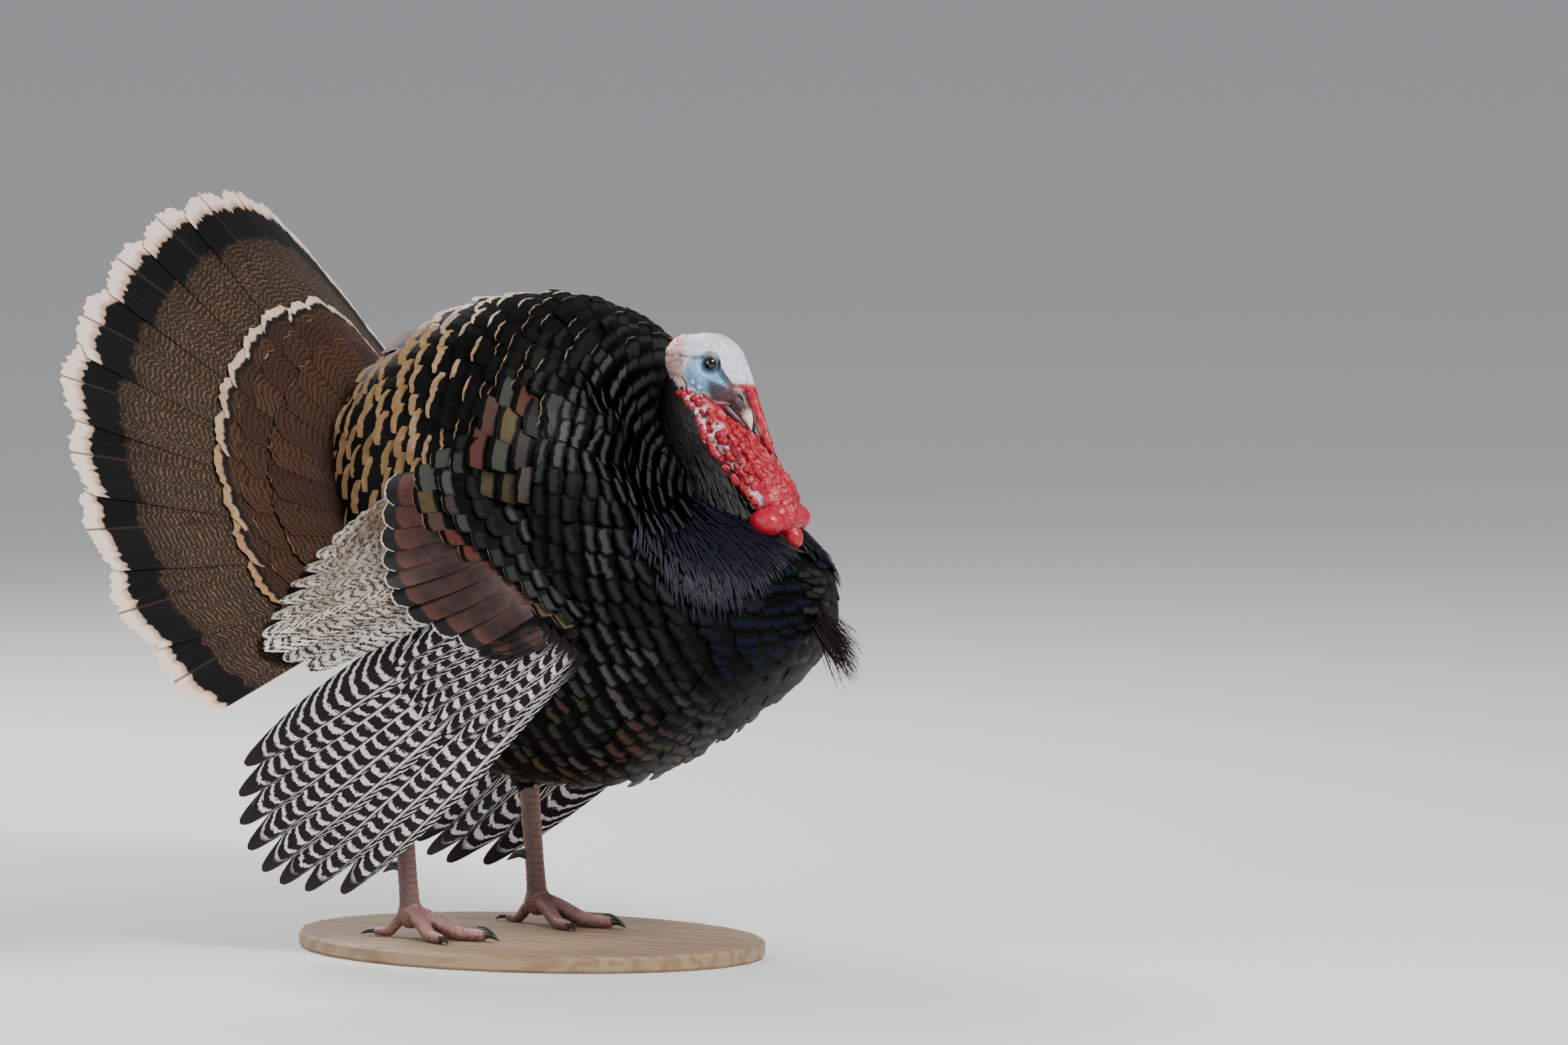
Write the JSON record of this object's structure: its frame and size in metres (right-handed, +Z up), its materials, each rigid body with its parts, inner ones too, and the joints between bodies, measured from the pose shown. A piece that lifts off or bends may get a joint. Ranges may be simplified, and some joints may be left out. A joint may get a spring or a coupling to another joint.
{
  "type": "wild turkey, adult male in strut",
  "caption": "A wild turkey tom displaying in full strut: tail fanned, wings drooped, feathers raised and head drawn back, life size and still, standing on a thin oval wood base.",
  "frame": {"origin": "Centre of the bounding box in X and Y, on the floor: the underside of the oval base is at z = 0.", "axes": "+X is the way the bird faces, +Y is its left side and +Z is up."},
  "size_m": [0.7083, 0.7874, 0.7138],
  "materials": {
    "body_plumage": "satin",
    "neck_plumage": "satin",
    "wing_plumage": "matte",
    "tail_plumage": "matte",
    "covert_plumage": "matte",
    "beard_bristle": "matte",
    "head_skin": "satin",
    "red_skin": "satin",
    "leg_skin": "satin",
    "bill_horn": "satin",
    "claw_horn": "satin",
    "eye_gloss": "gloss",
    "base_finish": "satin"
  },
  "bodies": {
    "root": {"rump": "body_plumage", "trunk": "body_plumage", "breast": "body_plumage", "thigh_left": "body_plumage", "thigh_right": "body_plumage", "wing_left_coverts": "body_plumage", "wing_left_scapulars": "body_plumage", "wing_right_coverts": "body_plumage", "wing_right_scapulars": "body_plumage", "neck": "neck_plumage", "wing_left_primaries": "wing_plumage", "wing_left_secondaries": "wing_plumage", "wing_left_tertials": "wing_plumage", "wing_right_primaries": "wing_plumage", "wing_right_secondaries": "wing_plumage", "wing_right_tertials": "wing_plumage", "tail_fan": "tail_plumage", "tail_coverts": "covert_plumage", "undertail_coverts": "covert_plumage", "beard": "beard_bristle", "head": "head_skin", "snood": "red_skin", "wattle": "red_skin", "caruncle_right": "red_skin", "caruncle_left": "red_skin", "caruncle_middle": "red_skin", "foot_left": "leg_skin", "shank_left": "leg_skin", "claw_left_middle": "claw_horn", "claw_left_inner": "claw_horn", "claw_left_outer": "claw_horn", "claw_left_hind": "claw_horn", "spur_left": "claw_horn", "eye_left": "eye_gloss", "foot_right": "leg_skin", "shank_right": "leg_skin", "claw_right_middle": "claw_horn", "claw_right_inner": "claw_horn", "claw_right_outer": "claw_horn", "claw_right_hind": "claw_horn", "spur_right": "claw_horn", "eye_right": "eye_gloss", "bill_upper": "bill_horn", "bill_lower": "bill_horn", "stand_base": "base_finish"}
  },
  "joints": []
}
